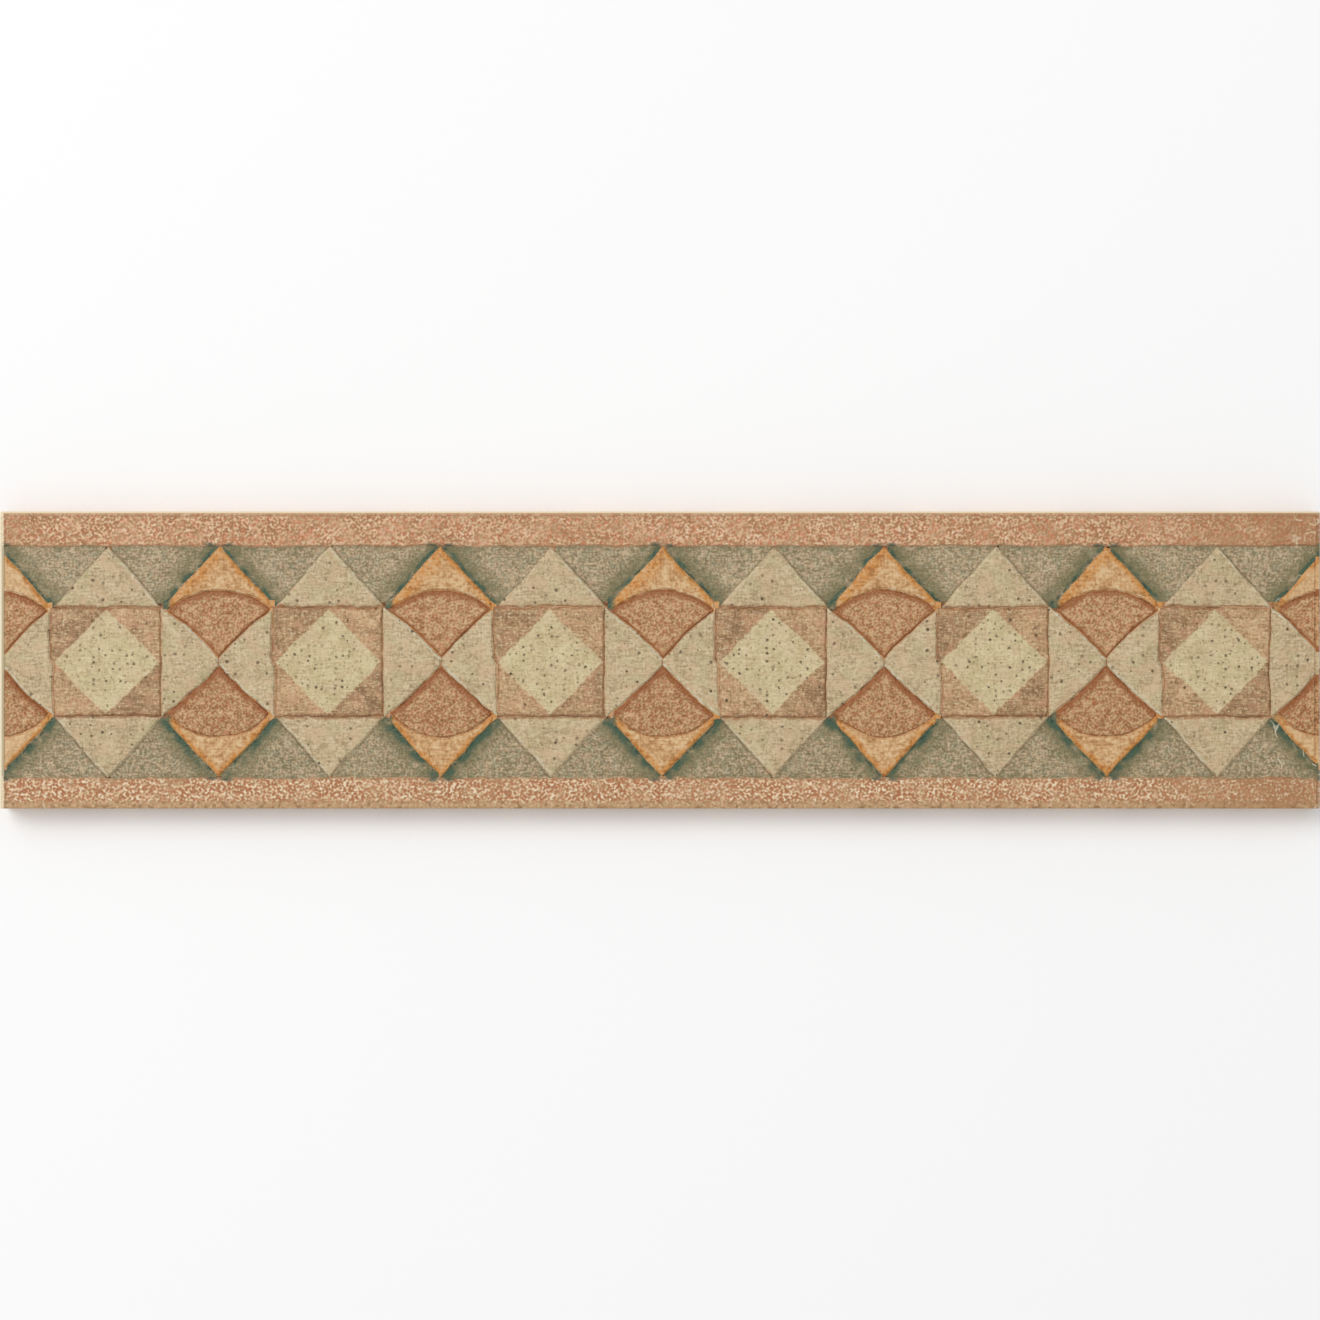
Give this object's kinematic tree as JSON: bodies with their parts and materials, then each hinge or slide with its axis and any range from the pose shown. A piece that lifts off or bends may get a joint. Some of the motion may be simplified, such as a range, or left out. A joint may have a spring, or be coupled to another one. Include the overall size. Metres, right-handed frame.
{
  "type": "ceramic liner tile",
  "caption": "Long narrow glazed ceramic border tile with a pressed star and square relief between two plain bands and a keyed back for adhesive.",
  "frame": {"origin": "centre of the bedding plane on the back of the tile", "axes": "+X along the length of the tile, +Y across it towards the upper band, +Z out of the glazed face"},
  "size_m": [0.333, 0.075, 0.0085],
  "materials": {
    "glazed_body": "satin glaze in terracotta, beige, sage and amber over a buff fired body"
  },
  "bodies": {
    "root": {"liner_tile": "glazed_body"}
  },
  "joints": []
}
